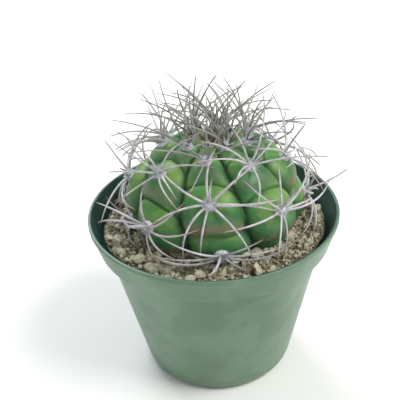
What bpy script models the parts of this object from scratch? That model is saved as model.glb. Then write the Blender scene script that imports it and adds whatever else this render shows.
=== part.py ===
"""A chin cactus in a round nursery pot, modelled in metres with +Z up.

The origin is the middle of the pot's underside, where the pot stands on a table. The front is -Y.
The plant follows its own growth rule: each new tubercle turns by the divergence angle from the last
one and stands a little nearer the crown, which lines the tubercles up in eight ribs.
"""

import math
import random

import bmesh
import bpy
import numpy as np
from mathutils import Matrix, Vector
from mathutils.bvhtree import BVHTree

# Pot: a thin moulded cup with a tapered collar below its lip.
POT_HEIGHT = 0.0730
RIM_RADIUS = 0.0510
LIP_DROP = 0.0022
LIP_RADIUS_LOSS = 0.0004
COLLAR_FOOT_RADIUS = 0.0480
COLLAR_HEIGHT = 0.0115
BODY_TOP_RADIUS = 0.0448
BASE_RADIUS = 0.0322
BASE_ROUND = 0.0040
POT_WALL = 0.0014
FLOOR_THICKNESS = 0.0020
POT_SIDES = 40
DRAIN_COUNT = 6
DRAIN_RADIUS = 0.0034
DRAIN_RING = 0.0215
FIT_GAP = 0.0004

# Stem: a depressed globe on a short taproot.
STEM_SHIFT = 0.0012
GLOBE_RADIUS = 0.0335
GLOBE_CENTRE = POT_HEIGHT + 0.0040
GLOBE_RISE = 0.0265
GLOBE_DROP = 0.0200
CROWN_DIP = 0.0022
CROWN_DIP_RADIUS = 0.0080
NECK_POLAR = math.radians(130)
ROOT_LENGTH = 0.0300
ROOT_TIP_RADIUS = 0.0025

# Growth: step 0 is the areole low on the front, and higher steps are younger.
FIRST_STEP = -2
FIRST_CROWN_STEP = 26
LAST_STEP = 29
FRONT_AZIMUTH = math.radians(0.5)
DIVERGENCE = math.radians(-135.8)
RIBS = 8
RIB_DRIFT = DIVERGENCE + math.radians(135)
STEP_ZERO_POLAR = math.radians(99)
POLAR_DECAY = 0.050
POLAR_DECAY_RISE = 0.0018

# Tubercles: rounded, wider than tall, with a chin below the areole.
TUBERCLE_RELIEF = 0.0100
TUBERCLE_MEAN = 0.80
TUBERCLE_HALF_WIDTH = math.radians(25.3)
ARCH_POWER = 3.0
TOP_ROWS = 0.64
TOP_POWER = 2.1
CHIN_ROW = -0.28
CHIN_ROWS = 0.62
CHIN_POWER = 5.0
CHIN_SWELL = 0.09
CHIN_DROOP = 0.30
CHIN_POLAR = math.radians(44)
CHIN_POLAR_SPAN = math.radians(14)
YOUNG_TOP_ROWS = 0.66
YOUNG_FACE_ROWS = 0.71
YOUNG_FACE_POWER = 3.6
FACE_CORNERS = 0.50
CROWN_FADE = 0.55
CHIN_SPREAD = 0.0011

# Areoles: woolly pads with spines rooted in them.
PAD_HALF_WIDTH = 0.0025
PAD_HALF_HEIGHT = 0.0021
PAD_THICKNESS = 0.0014
PAD_FLATTENING = 0.35
PAD_GAP = 0.00045
PAD_KEEP_OUT = 0.0034
CROWN_RADIUS = 0.0034
CROWN_THICKNESS = 0.0024

# Spines
SPINE_LENGTH = 0.0270
ROOT_SPREAD = 0.0009
SIDE_PULL = 0.32
SPINE_RADIUS = 0.00040
SPINE_TIP_RADIUS = 0.00010
SPINE_POINTS = 5
SPINE_SIDES = 3
SPINE_CLEAR = 0.00035
SPINE_TRIES = 60
CROWN_STEP = 12
YOUNG_STEP = 21

# Soil
SOIL_LEVEL = POT_HEIGHT - 0.0075
SOIL_TILT = 0.055
SOIL_BUMP = 0.0009
SOIL_SIDES = 40
GRAIN_COUNT = 44
GRAIN_RADIUS = (0.0013, 0.0030)
SPINE_OVER_SOIL = 0.0014
GRAIN_TURN = math.radians(137.5)
GROWTH_SEED = 8

COLOURS = {
    "pot": ((0.11, 0.19, 0.12), 0.45),
    "soil": ((0.27, 0.22, 0.15), 0.95),
    "stem": ((0.12, 0.26, 0.09), 0.50),
    "spines": ((0.46, 0.42, 0.42), 0.70),
}


def clear_scene():
    for obj in list(bpy.data.objects):
        bpy.data.objects.remove(obj, do_unlink=True)


def new_collection(name):
    collection = bpy.data.collections.new(name)
    bpy.context.scene.collection.children.link(collection)
    return collection


def material(name):
    colour, roughness = COLOURS[name]
    made = bpy.data.materials.new(name)
    made.use_nodes = True
    shader = made.node_tree.nodes["Principled BSDF"]
    shader.inputs["Base Color"].default_value = (*colour, 1.0)
    shader.inputs["Roughness"].default_value = roughness
    shader.inputs["Metallic"].default_value = 0.0
    return made


def object_from_bmesh(name, bm, collection, finish=None):
    bmesh.ops.recalc_face_normals(bm, faces=bm.faces)
    mesh = bpy.data.meshes.new(name)
    bm.to_mesh(mesh)
    bm.free()
    made = bpy.data.objects.new(name, mesh)
    collection.objects.link(made)
    if finish is not None:
        mesh.materials.append(finish)
    return made


def apply_modifiers(obj):
    """Replaces the object's mesh with the evaluated one and drops its modifiers."""
    graph = bpy.context.evaluated_depsgraph_get()
    made = bpy.data.meshes.new_from_object(obj.evaluated_get(graph))
    obj.modifiers.clear()
    obj.data = made


def fuse(obj, pieces):
    """Joins the pieces, a collection of closed meshes, to the object as one body."""
    union = obj.modifiers.new("fuse", "BOOLEAN")
    union.operation = "UNION"
    union.solver = "MANIFOLD"
    union.operand_type = "COLLECTION"
    union.collection = pieces
    apply_modifiers(obj)
    for piece in list(pieces.objects):
        bpy.data.objects.remove(piece, do_unlink=True)
    bpy.data.collections.remove(pieces)
    keep_outer_shell(obj)


def keep_outer_shell(obj):
    """Drops every shell but the largest, which fills sealed hollows and clears loose scraps."""
    bm = bmesh.new()
    bm.from_mesh(obj.data)
    left = set(bm.faces)
    shells = []
    while left:
        edge_of_shell = [left.pop()]
        shell = set(edge_of_shell)
        while edge_of_shell:
            face = edge_of_shell.pop()
            for edge in face.edges:
                for other in edge.link_faces:
                    if other in left:
                        left.remove(other)
                        shell.add(other)
                        edge_of_shell.append(other)
        shells.append(shell)
    largest = max(shells, key=lambda shell: sum(face.calc_area() for face in shell))
    for shell in shells:
        if shell is not largest:
            bmesh.ops.delete(bm, geom=list(shell), context="FACES")
    bm.to_mesh(obj.data)
    bm.free()


# The pot

def pot_outline():
    """Half section as (radius, height), from the inner floor up, over the lip and down the outside."""
    shoulder = POT_HEIGHT - COLLAR_HEIGHT
    inner_body = BODY_TOP_RADIUS - POT_WALL
    inner_base = BASE_RADIUS - POT_WALL
    round_step = BASE_ROUND * (1 - math.sqrt(0.5))
    return [
        (0.0, FLOOR_THICKNESS),
        (inner_base - BASE_ROUND, FLOOR_THICKNESS),
        (inner_base - round_step, FLOOR_THICKNESS + round_step),
        (inner_base + 0.0006, FLOOR_THICKNESS + BASE_ROUND),
        (inner_body, shoulder - 0.0010),
        (COLLAR_FOOT_RADIUS - POT_WALL, shoulder + 0.0012),
        (RIM_RADIUS - LIP_RADIUS_LOSS - POT_WALL, POT_HEIGHT - LIP_DROP),
        (RIM_RADIUS - POT_WALL, POT_HEIGHT - 0.0003),
        (RIM_RADIUS - 0.5 * POT_WALL, POT_HEIGHT),
        (RIM_RADIUS, POT_HEIGHT - 0.0005),
        (RIM_RADIUS, POT_HEIGHT - LIP_DROP + 0.0004),
        (RIM_RADIUS - LIP_RADIUS_LOSS, POT_HEIGHT - LIP_DROP),
        (COLLAR_FOOT_RADIUS, shoulder + 0.0006),
        (COLLAR_FOOT_RADIUS - 0.0005, shoulder),
        (BODY_TOP_RADIUS, shoulder - 0.0006),
        (BASE_RADIUS + 0.0006, BASE_ROUND),
        (BASE_RADIUS - round_step, round_step),
        (BASE_RADIUS - BASE_ROUND, 0.0),
        (0.0, 0.0),
    ]


def make_pot(collection, cutters):
    outline = bmesh.new()
    points = [outline.verts.new((r, 0.0, z)) for r, z in pot_outline()]
    for start, end in zip(points, points[1:]):
        outline.edges.new((start, end))
    mesh = bpy.data.meshes.new("pot")
    outline.to_mesh(mesh)
    outline.free()
    pot = bpy.data.objects.new("pot", mesh)
    collection.objects.link(pot)
    mesh.materials.append(material("pot"))
    turn = pot.modifiers.new("turn", "SCREW")
    turn.steps = POT_SIDES
    turn.render_steps = POT_SIDES
    turn.use_merge_vertices = True
    turn.merge_threshold = 0.00001
    drains = pot.modifiers.new("drains", "BOOLEAN")
    drains.operation = "DIFFERENCE"
    drains.object = drain_cutter(cutters)
    return pot


def drain_cutter(cutters):
    """One mesh of round pegs that pierce the pot's floor."""
    bm = bmesh.new()
    for i in range(DRAIN_COUNT):
        turn = 2 * math.pi * (i + 0.5) / DRAIN_COUNT
        place = Vector((DRAIN_RING * math.cos(turn), DRAIN_RING * math.sin(turn), FLOOR_THICKNESS / 2))
        bmesh.ops.create_cone(
            bm, cap_ends=True, segments=12, radius1=DRAIN_RADIUS, radius2=DRAIN_RADIUS,
            depth=3 * FLOOR_THICKNESS, matrix=Matrix.Translation(place),
        )
    cutter = object_from_bmesh("drain_cutter", bm, cutters)
    cutter.hide_render = True
    cutter.display_type = "WIRE"
    return cutter


# Growth rule of the stem

def polar_of(step):
    """Angle from the crown's axis at a growth step, which may be a fraction."""
    return STEP_ZERO_POLAR * np.exp(-POLAR_DECAY * step - POLAR_DECAY_RISE * step * step)


def azimuth_of(step):
    return FRONT_AZIMUTH + DIVERGENCE * step


def globe_point(azimuth, polar):
    """A point on the smooth globe. Azimuth 0 is the front, -Y, and grows towards +X."""
    radius = GLOBE_RADIUS * np.sin(polar)
    reach = np.where(polar < math.pi / 2, GLOBE_RISE, GLOBE_DROP)
    height = GLOBE_CENTRE + reach * np.cos(polar)
    height = height - CROWN_DIP * np.exp(-((radius / CROWN_DIP_RADIUS) ** 2)) * (polar < 1)
    return np.stack([STEM_SHIFT + radius * np.sin(azimuth), -radius * np.cos(azimuth), height], axis=-1)


def globe_frame(azimuth, polar):
    """Outward normal and upward tangent of the smooth globe."""
    reach = np.where(polar < math.pi / 2, GLOBE_RISE, GLOBE_DROP)
    out = np.stack([np.sin(azimuth), -np.cos(azimuth), np.zeros_like(azimuth)], axis=-1)
    rise = np.array([0.0, 0.0, 1.0])
    normal = out * (np.sin(polar) / GLOBE_RADIUS)[..., None] + rise * (np.cos(polar) / reach)[..., None]
    normal /= np.linalg.norm(normal, axis=-1, keepdims=True)
    upward = -out * (np.cos(polar) * GLOBE_RADIUS)[..., None] + rise * (np.sin(polar) * reach)[..., None]
    upward /= np.linalg.norm(upward, axis=-1, keepdims=True)
    return normal, upward


def age_of(owner):
    """0 for a young tubercle with a sloping face, up to 1 for an old one low on the stem, with a chin."""
    return np.clip((polar_of(owner) - CHIN_POLAR) / CHIN_POLAR_SPAN, 0, 1)


def tubercle_dome(across, up, age):
    """Height of one tubercle, from 0 to about 1, at a place across its rib and so many rows up it."""
    side = np.abs(across / TUBERCLE_HALF_WIDTH)
    top_rows = YOUNG_TOP_ROWS + (TOP_ROWS - YOUNG_TOP_ROWS) * age
    face_rows = YOUNG_FACE_ROWS + FACE_CORNERS * side**2
    chin_rows = face_rows + (CHIN_ROWS - face_rows) * age
    power = YOUNG_FACE_POWER + (CHIN_POWER - YOUNG_FACE_POWER) * age
    top = (np.clip(up, 0, 1) / top_rows) ** TOP_POWER
    chin = np.clip(-up / chin_rows, 0, 1) ** power
    dome = np.sqrt(np.clip(1 - side**ARCH_POWER - top, 0, 1) * (1 - chin))
    return dome * (1 + CHIN_SWELL * age * np.exp(-(((up - CHIN_ROW) / 0.2) ** 2)))


def tubercle_height(azimuth, step):
    """Height, from 0 to about 1, share of the chin's slide and age of the tallest tubercle at a place."""
    height, slide, age = (np.zeros(np.shape(azimuth)) for _ in range(3))
    for owner in range(FIRST_STEP - RIBS, LAST_STEP + RIBS):
        up = (step - owner) / RIBS
        across = azimuth - azimuth_of(owner) - RIB_DRIFT * (step - owner)
        across = (across + math.pi) % (2 * math.pi) - math.pi
        dome = tubercle_dome(across, up, age_of(owner))
        own_slide = np.clip((0.05 - up) / 0.40, 0, 1) * np.clip((up + CHIN_ROWS) / 0.17, 0, 1)
        slide = np.where(dome > height, own_slide, slide)
        age = np.where(dome > height, age_of(owner), age)
        height = np.maximum(height, dome)
    return height, slide * np.clip((height - 0.5) / 0.35, 0, 1), age


def stem_surface(azimuth, step):
    """Points on the stem: the globe, raised into tubercles whose lower half droops into a chin."""
    polar = polar_of(step)
    normal, upward = globe_frame(azimuth, polar)
    height, slide, age = tubercle_height(azimuth, step)
    size = TUBERCLE_RELIEF * np.clip(np.sin(polar), 0, 1) ** CROWN_FADE
    size = size * np.clip((NECK_POLAR - polar) / 0.22, 0, 1)
    raised = (size * (height - TUBERCLE_MEAN))[..., None]
    droop = (size * slide * age * CHIN_DROOP)[..., None]
    return globe_point(azimuth, polar) + normal * raised - upward * droop


def root_profile():
    """Half section of the taproot below the neck, as (radius, height) from the neck down."""
    neck = globe_point(np.float64(0), np.float64(NECK_POLAR))
    radius, top = float(-neck[1]), float(neck[2])
    rows = []
    for share in (0.10, 0.25, 0.45, 0.70, 1.0):
        narrow = radius * (1 - share) ** 1.5 + ROOT_TIP_RADIUS * share
        rows.append((narrow, top - ROOT_LENGTH * share))
    return rows


def ring_of(radius, height, columns, shift):
    turn = np.linspace(0, 2 * math.pi, columns, endpoint=False)
    return np.stack([shift + radius * np.sin(turn), -radius * np.cos(turn), np.full(columns, height)], axis=-1)


def closed_rings(rows):
    """A mesh that joins each ring of points to the next and closes both ends with a fan."""
    bm = bmesh.new()
    rings = [[bm.verts.new(point) for point in row] for row in rows]
    for upper, lower in zip(rings, rings[1:]):
        for i in range(len(upper)):
            j = (i + 1) % len(upper)
            bm.faces.new((upper[i], lower[i], lower[j], upper[j]))
    for ring in (rings[0], rings[-1]):
        middle = bm.verts.new(sum((v.co for v in ring), Vector()) / len(ring))
        for i in range(len(ring)):
            bm.faces.new((ring[i], ring[(i + 1) % len(ring)], middle))
    return bm


def make_stem(collection):
    columns, half_steps = 120, 2
    azimuths = np.linspace(0, 2 * math.pi, columns, endpoint=False)
    rows = []
    for k in range(half_steps * (LAST_STEP + 4), half_steps * -8, -1):
        step = np.full(columns, k / half_steps)
        if float(polar_of(step[0])) < NECK_POLAR:
            rows.append(stem_surface(azimuths, step))
    rows += [ring_of(radius, height, columns, STEM_SHIFT) for radius, height in root_profile()]
    stem = object_from_bmesh("stem", closed_rings(rows), collection, material("stem"))
    thin_out = stem.modifiers.new("thin_out", "DECIMATE")
    thin_out.ratio = 0.21
    apply_modifiers(stem)
    stem.data.shade_smooth()
    return stem


# Spines

def areole_frame(step):
    """Seat, outward normal, upward tangent and sideways tangent of an areole."""
    azimuth, polar = np.float64(azimuth_of(step)), polar_of(np.float64(step))
    seat = stem_surface(azimuth, np.float64(step))
    normal, upward = globe_frame(azimuth, polar)
    return seat, normal, upward, np.cross(normal, upward)


def spine_path(root, start, bend_to, length, bend, count):
    """Points of a spine that leaves along start and turns towards bend_to by the angle bend."""
    turn_axis = np.cross(start, bend_to)
    turn_axis /= max(np.linalg.norm(turn_axis), 1e-9)
    side = np.cross(turn_axis, start)
    points = [root]
    pace = length / (count - 1)
    for i in range(count - 1):
        angle = bend * (i + 0.5) / (count - 1)
        points.append(points[-1] + pace * (start * math.cos(angle) + side * math.sin(angle)))
    return np.array(points)


def segments_apart(a, b, others_a, others_b):
    """Smallest distance from the segment a-b to any of the other segments."""
    u, v, w = b - a, others_b - others_a, a - others_a
    uu, uv, vv = u @ u, v @ u, np.einsum("ij,ij->i", v, v)
    uw, vw = w @ u, np.einsum("ij,ij->i", v, w)
    best = np.full(len(others_a), np.inf)
    det = np.maximum(uu * vv - uv * uv, 1e-18)
    s = np.clip((uv * vw - vv * uw) / det, 0, 1)
    for _ in range(2):
        t = np.clip((uv * s + vw) / vv, 0, 1)
        s = np.clip((uv * t - uw) / uu, 0, 1)
        gap = w + s[:, None] * u - t[:, None] * v
        best = np.minimum(best, np.linalg.norm(gap, axis=1))
    return float(best.min())


def soil_height(x, y):
    """Height of the soil, which stands higher at the front."""
    lumps = np.sin(310 * x + 1.0) * np.cos(270 * y) + 0.6 * np.sin(520 * y + 140 * x + 2.0)
    return SOIL_LEVEL - SOIL_TILT * y + SOIL_BUMP * lumps


def pot_inside_radius(z):
    foot = POT_HEIGHT - COLLAR_HEIGHT
    return np.interp(z, [0, foot, POT_HEIGHT],
                     [BASE_RADIUS - POT_WALL, BODY_TOP_RADIUS - POT_WALL, RIM_RADIUS - 2 * POT_WALL])


def is_clear(path, placed, seats):
    """True if a spine clears the stem's crests, the soil, the pot and the other areoles with their spines."""
    samples = np.concatenate([path[1:], (path[1:-1] + path[2:]) / 2])
    across = np.hypot(samples[:, 0], samples[:, 1])
    from_stem = np.hypot(samples[:, 0] - STEM_SHIFT, samples[:, 1])
    reach = np.where(samples[:, 2] > GLOBE_CENTRE, GLOBE_RISE, GLOBE_DROP)
    crest = TUBERCLE_RELIEF * (1 + CHIN_SWELL - TUBERCLE_MEAN) + 0.0004
    level = (samples[:, 2] - GLOBE_CENTRE) / (reach + crest)
    if (np.hypot(from_stem / (GLOBE_RADIUS + crest), level) < 1.0).any():
        return False
    if (samples[:, 2] < soil_height(samples[:, 0], samples[:, 1]) + SPINE_OVER_SOIL)[across < RIM_RADIUS].any():
        return False
    low = samples[:, 2] < POT_HEIGHT + 0.0012
    if (across[low] > pot_inside_radius(samples[low, 2]) - 0.0015).any():
        return False
    for seat, keep_out in seats:
        if (np.linalg.norm(samples - seat, axis=1) < keep_out).any():
            return False
    if placed:
        others_a, others_b = np.array([p[0] for p in placed]), np.array([p[1] for p in placed])
        least = 2 * SPINE_RADIUS + SPINE_CLEAR
        for a, b in zip(path[:-1], path[1:]):
            if segments_apart(a, b, others_a, others_b) < least:
                return False
    return True


def spine_plan(step, dice):
    """Turn round the areole, lift, length, bend, sway and thickness of each spine of one areole."""
    young = np.clip((step - YOUNG_STEP) / (LAST_STEP - YOUNG_STEP), 0, 1)
    erect = np.clip((step - CROWN_STEP + 4) / 8, 0, 1)
    old = 0.72 if step < 0 else 1.0
    radials = dice.choice((8, 8, 9)) if step < CROWN_STEP else 7 if step < YOUNG_STEP else 6
    if step >= FIRST_CROWN_STEP:
        radials = 2
    thick = 1 - 0.25 * erect
    plan = []
    for k in range(radials):
        turn = math.pi + 2 * math.pi * k / radials + math.radians(dice.uniform(-14, 14))
        turn += SIDE_PULL * math.sin(2 * turn)
        lift = 20 + 9 * math.cos(turn) + 26 * erect + dice.uniform(-6, 6)
        length = SPINE_LENGTH * old * (1 - 0.30 * young) * (0.72 + 0.32 * abs(math.sin(turn)))
        length *= dice.uniform(0.88, 1.12) + 0.08 * erect
        bend = dice.uniform(40, 85) * (1 - 0.40 * erect)
        sway = dice.uniform(-1.2, 1.2)
        plan.append((turn, math.radians(lift), length, math.radians(bend), sway, thick))
    turn = dice.uniform(-0.8, 0.8)
    length = SPINE_LENGTH * old * (1 - 0.30 * young) * dice.uniform(0.50, 0.85 + 0.2 * erect)
    lift = math.radians(dice.uniform(58, 78))
    plan.append((turn, lift, length, math.radians(dice.uniform(14, 40)), dice.uniform(-0.8, 0.8), 1.1 * thick))
    return plan


def crown_seat():
    """The middle of the crown, where the youngest areoles share one tuft of wool."""
    return globe_point(np.float64(0), np.float64(0))


def grow_spines():
    """Every areole's spines, {step: [(points, thickness)]}. A spine that would cross one of another
    areole is lifted and turned until it is clear, and one that finds no clear way is left out."""
    grown, placed = {}, []
    seats = {step: (areole_frame(step)[0], PAD_KEEP_OUT) for step in range(FIRST_STEP, FIRST_CROWN_STEP)}
    for step in range(FIRST_STEP, LAST_STEP + 1):
        dice = random.Random(GROWTH_SEED * 1000 + step)
        seat, normal, upward, sideways = areole_frame(step)
        root = seat + normal * (PAD_GAP + 0.4 * PAD_THICKNESS)
        if step >= FIRST_CROWN_STEP:
            root = crown_seat() + (root - crown_seat()) * [0.4, 0.4, 0.0] + [0, 0, 0.7 * CROWN_THICKNESS]
        others = [place for other, place in seats.items() if other != step]
        if step < FIRST_CROWN_STEP:
            others.append((crown_seat(), CROWN_RADIUS + 0.0022))
        own = []
        count = SPINE_POINTS if step < CROWN_STEP else SPINE_POINTS - 1
        spread = ROOT_SPREAD if step < FIRST_CROWN_STEP else 0.0
        for turn, lift, length, bend, sway, thick in spine_plan(step, dice):
            for attempt in range(SPINE_TRIES):
                veer = math.radians(3.5) * ((attempt + 1) // 2) * (-1) ** attempt / 2
                raised = lift + math.radians(1.1) * attempt
                level = upward * math.cos(turn + veer) + sideways * math.sin(turn + veer)
                start = level * math.cos(raised) + normal * math.sin(raised)
                bend_to = sway * np.cross(normal, level) - normal
                foot = root + spread * level
                path = spine_path(foot, start, bend_to, length * (1 - 0.011 * attempt), bend, count)
                if is_clear(path, placed, others):
                    own.append((path, thick))
                    break
        grown[step] = own
        if step < FIRST_CROWN_STEP:
            for path, _ in own:
                placed.extend(zip(path[:-1], path[1:]))
    return grown


def make_pad(name, seat, frame, half_sizes, stem_tree, collection, finish):
    """Woolly pad: a low dome, flatter underneath, lifted along its normal until it clears the stem."""
    normal, upward, sideways = frame
    bm = bmesh.new()
    bmesh.ops.create_uvsphere(bm, u_segments=7, v_segments=4, radius=1.0)
    for v in bm.verts:
        if v.co.z < 0:
            v.co.z *= PAD_FLATTENING
    place = Matrix.Identity(4)
    for column, axis, size in zip(range(3), (upward, -sideways, normal), half_sizes):
        for row in range(3):
            place[row][column] = float(axis[row]) * size
    place.translation = Vector(seat)
    bmesh.ops.transform(bm, matrix=place, verts=bm.verts)
    outward = Vector(normal)
    lift = -1.0
    for v in bm.verts:
        hit = stem_tree.ray_cast(v.co + outward * 0.02, -outward)[0]
        if hit is not None:
            lift = max(lift, (hit - v.co).dot(outward))
    bmesh.ops.translate(bm, vec=outward * (lift + PAD_GAP), verts=bm.verts)
    return object_from_bmesh(name, bm, collection, finish)


def make_spine(path, thick, collection):
    """A three-sided tapered needle along its path, closed at both ends. A curve's bevel has four sides or more."""
    bm = bmesh.new()
    rings = []
    toward = path[1] - path[0]
    side = np.cross(toward, [0.3, 0.2, 0.9])
    for i, point in enumerate(path[:-1]):
        ahead = path[i + 1] - path[max(i - 1, 0)]
        ahead /= np.linalg.norm(ahead)
        side = side - ahead * (side @ ahead)
        side /= np.linalg.norm(side)
        other = np.cross(ahead, side)
        share = i / (len(path) - 1)
        radius = thick * (SPINE_RADIUS * (1 - share) ** 0.7 + SPINE_TIP_RADIUS)
        ring = []
        for k in range(SPINE_SIDES):
            angle = 2 * math.pi * k / SPINE_SIDES
            ring.append(bm.verts.new(point + radius * (side * math.cos(angle) + other * math.sin(angle))))
        rings.append(ring)
    tip = bm.verts.new(path[-1])
    bm.faces.new(rings[0])
    for lower, upper in zip(rings, rings[1:]):
        for k in range(SPINE_SIDES):
            j = (k + 1) % SPINE_SIDES
            bm.faces.new((lower[k], lower[j], upper[j], upper[k]))
    for k in range(SPINE_SIDES):
        bm.faces.new((rings[-1][k], rings[-1][(k + 1) % SPINE_SIDES], tip))
    return object_from_bmesh("spine", bm, collection)


def make_areoles(collection, stem, grown):
    """One body for each areole, its pad with its spines, and one for the tuft of the youngest."""
    finish = material("spines")
    stem_tree = BVHTree.FromPolygons([v.co.copy() for v in stem.data.vertices],
                                     [tuple(face.vertices) for face in stem.data.polygons])
    for step in range(FIRST_STEP, FIRST_CROWN_STEP):
        seat, normal, upward, sideways = areole_frame(step)
        young = 1 - 0.3 * max(0, step - YOUNG_STEP) / (FIRST_CROWN_STEP - YOUNG_STEP)
        sizes = (PAD_HALF_HEIGHT * young, PAD_HALF_WIDTH * young, PAD_THICKNESS * young)
        name = f"areole_{step - FIRST_STEP + 1:02d}"
        pad = make_pad(name, seat, (normal, upward, sideways), sizes, stem_tree, collection, finish)
        add_spines(pad, grown[step])
    axes = (np.array([0.0, 0.0, 1.0]), np.array([0.0, 1.0, 0.0]), np.array([-1.0, 0.0, 0.0]))
    sizes = (CROWN_RADIUS, CROWN_RADIUS, CROWN_THICKNESS)
    crown = make_pad("crown_tuft", crown_seat(), axes, sizes, stem_tree, collection, finish)
    add_spines(crown, sum((grown[step] for step in range(FIRST_CROWN_STEP, LAST_STEP + 1)), []))


def add_spines(pad, spines):
    cluster = new_collection(pad.name + "_spines")
    for path, thick in spines:
        make_spine(path, thick, cluster)
    fuse(pad, cluster)


# Soil

def stem_clear_radius(z):
    """Radius of the plain hole in the soil round the stem's buried part."""
    crest = TUBERCLE_RELIEF * (1 + CHIN_SWELL - TUBERCLE_MEAN) + CHIN_SPREAD
    drop = np.clip((GLOBE_CENTRE - z) / GLOBE_DROP, 0, -math.cos(NECK_POLAR))
    return (GLOBE_RADIUS + crest) * math.sqrt(1 - drop * drop) + FIT_GAP


def hole_radius():
    """Radius of the hole's mouth, wide enough where the soil stands highest."""
    return stem_clear_radius(SOIL_LEVEL + SOIL_TILT * GLOBE_RADIUS + 2 * SOIL_BUMP)


def soil_rings():
    """Rings of the soil from the hole's floor, up the hole, across the top and down to the bottom."""
    neck_z = GLOBE_CENTRE + GLOBE_DROP * math.cos(NECK_POLAR)
    root_tip = neck_z - ROOT_LENGTH
    mouth = hole_radius()
    edge = pot_inside_radius(SOIL_LEVEL) - 0.0008
    hole = [(ROOT_TIP_RADIUS + 0.0010, root_tip - 0.0010)]
    hole += [(radius + 0.0012, height) for radius, height in reversed(root_profile()[:-1:2])]
    hole.append((stem_clear_radius(neck_z), neck_z - 0.0004))
    rows = [ring_of(radius, height, SOIL_SIDES, STEM_SHIFT) for radius, height in hole]
    for share in (0.0, 0.33, 0.67, 1.0):
        row = ring_of(mouth + (edge - mouth) * share, 0.0, SOIL_SIDES, STEM_SHIFT * (1 - share))
        row[:, 2] = soil_height(row[:, 0], row[:, 1])
        rows.append(row)
    body, base = BODY_TOP_RADIUS - POT_WALL - FIT_GAP, BASE_RADIUS - POT_WALL - FIT_GAP
    shoulder = POT_HEIGHT - COLLAR_HEIGHT - 0.0012
    rows.append(ring_of(body - 0.0002, shoulder, SOIL_SIDES, 0.0))
    rows.append(ring_of(base + 0.0002, FLOOR_THICKNESS + BASE_ROUND, SOIL_SIDES, 0.0))
    rows.append(ring_of(base - BASE_ROUND, FLOOR_THICKNESS + FIT_GAP, SOIL_SIDES, 0.0))
    return rows


def make_soil(collection, grown):
    soil = object_from_bmesh("soil", closed_rings(soil_rings()), collection, material("soil"))
    grains = new_collection("grains")
    dice = random.Random(GROWTH_SEED)
    inner, outer = hole_radius(), pot_inside_radius(SOIL_LEVEL)
    segments = [pair for own in grown.values() for path, _ in own for pair in zip(path[:-1], path[1:])]
    starts, ends = (np.array(side) for side in zip(*segments))
    for i in range(GRAIN_COUNT):
        size = dice.uniform(*GRAIN_RADIUS)
        turn = GRAIN_TURN * i + dice.uniform(-0.3, 0.3)
        away = dice.uniform(inner + size + 0.0010, outer - size - 0.0018)
        x, y = STEM_SHIFT / 2 + away * math.sin(turn), -away * math.cos(turn)
        middle = np.array([x, y, float(soil_height(x, y)) + 0.35 * size])
        if segments_apart(middle, middle + [0, 0, 1e-5], starts, ends) > size + SPINE_RADIUS + 0.0004:
            make_grain(middle, size, dice, grains)
    fuse(soil, grains)
    return soil


def make_grain(middle, size, dice, grains):
    """A blunt stone, wider than tall, half sunk in the soil."""
    bm = bmesh.new()
    bmesh.ops.create_icosphere(bm, subdivisions=1, radius=size)
    for v in bm.verts:
        v.co *= dice.uniform(0.82, 1.0)
        v.co.z *= 0.8
    place = Matrix.Translation(Vector(middle)) @ Matrix.Rotation(dice.uniform(0, 6.28), 4, "Z")
    bmesh.ops.transform(bm, matrix=place, verts=bm.verts)
    return object_from_bmesh("grain", bm, grains)


def main():
    clear_scene()
    plant = new_collection("chin_cactus")
    cutters = new_collection("cutters")
    grown = grow_spines()
    make_pot(plant, cutters)
    make_soil(plant, grown)
    make_areoles(plant, make_stem(plant), grown)


main()
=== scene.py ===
# %% [markdown]
# # A chin cactus in its nursery pot
# A small globular cactus stands in a green plastic pot, in a gritty mix of pumice and bark.
# The measured model of the pot, the mix, the stem and the spines is loaded first. Every finer
# piece below stays where that model has it.

# %% Load the measured model
import math
import random

import bmesh
import bpy
import numpy as np
from mathutils import Matrix, Vector


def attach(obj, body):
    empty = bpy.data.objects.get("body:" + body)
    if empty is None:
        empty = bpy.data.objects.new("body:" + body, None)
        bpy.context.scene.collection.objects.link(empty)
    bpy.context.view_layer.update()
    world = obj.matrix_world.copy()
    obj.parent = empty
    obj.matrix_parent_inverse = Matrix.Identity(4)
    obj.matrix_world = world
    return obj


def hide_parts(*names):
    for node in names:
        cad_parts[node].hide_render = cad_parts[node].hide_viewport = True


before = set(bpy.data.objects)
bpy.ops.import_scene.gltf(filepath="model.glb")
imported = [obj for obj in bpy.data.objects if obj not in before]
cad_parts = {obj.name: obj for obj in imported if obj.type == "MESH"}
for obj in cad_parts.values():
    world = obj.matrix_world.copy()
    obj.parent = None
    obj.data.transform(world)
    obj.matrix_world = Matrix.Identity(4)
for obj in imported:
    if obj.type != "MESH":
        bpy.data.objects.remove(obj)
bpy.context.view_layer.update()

# %% [markdown]
# ## Sizes
# All lengths are in metres and all angles in radians. The pot comes first, because the mix fills
# it and the stem stands a few millimetres above its rim. The front of the plant is -Y.

# %% Sizes of the pot and the mix
POT_HEIGHT = 0.0730
RIM_RADIUS = 0.0510
LIP_DROP = 0.0022
LIP_RADIUS_LOSS = 0.0004
COLLAR_FOOT_RADIUS = 0.0480
COLLAR_HEIGHT = 0.0115
BODY_TOP_RADIUS = 0.0448
BASE_RADIUS = 0.0322
BASE_ROUND = 0.0040
POT_WALL = 0.0014
FLOOR_THICKNESS = 0.0020
DRAIN_COUNT = 6
DRAIN_RADIUS = 0.0034
DRAIN_RING = 0.0215

SOIL_LEVEL = POT_HEIGHT - 0.0075
SOIL_TILT = 0.055
SOIL_BUMP = 0.0009
SPINE_OVER_SOIL = 0.0014

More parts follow.
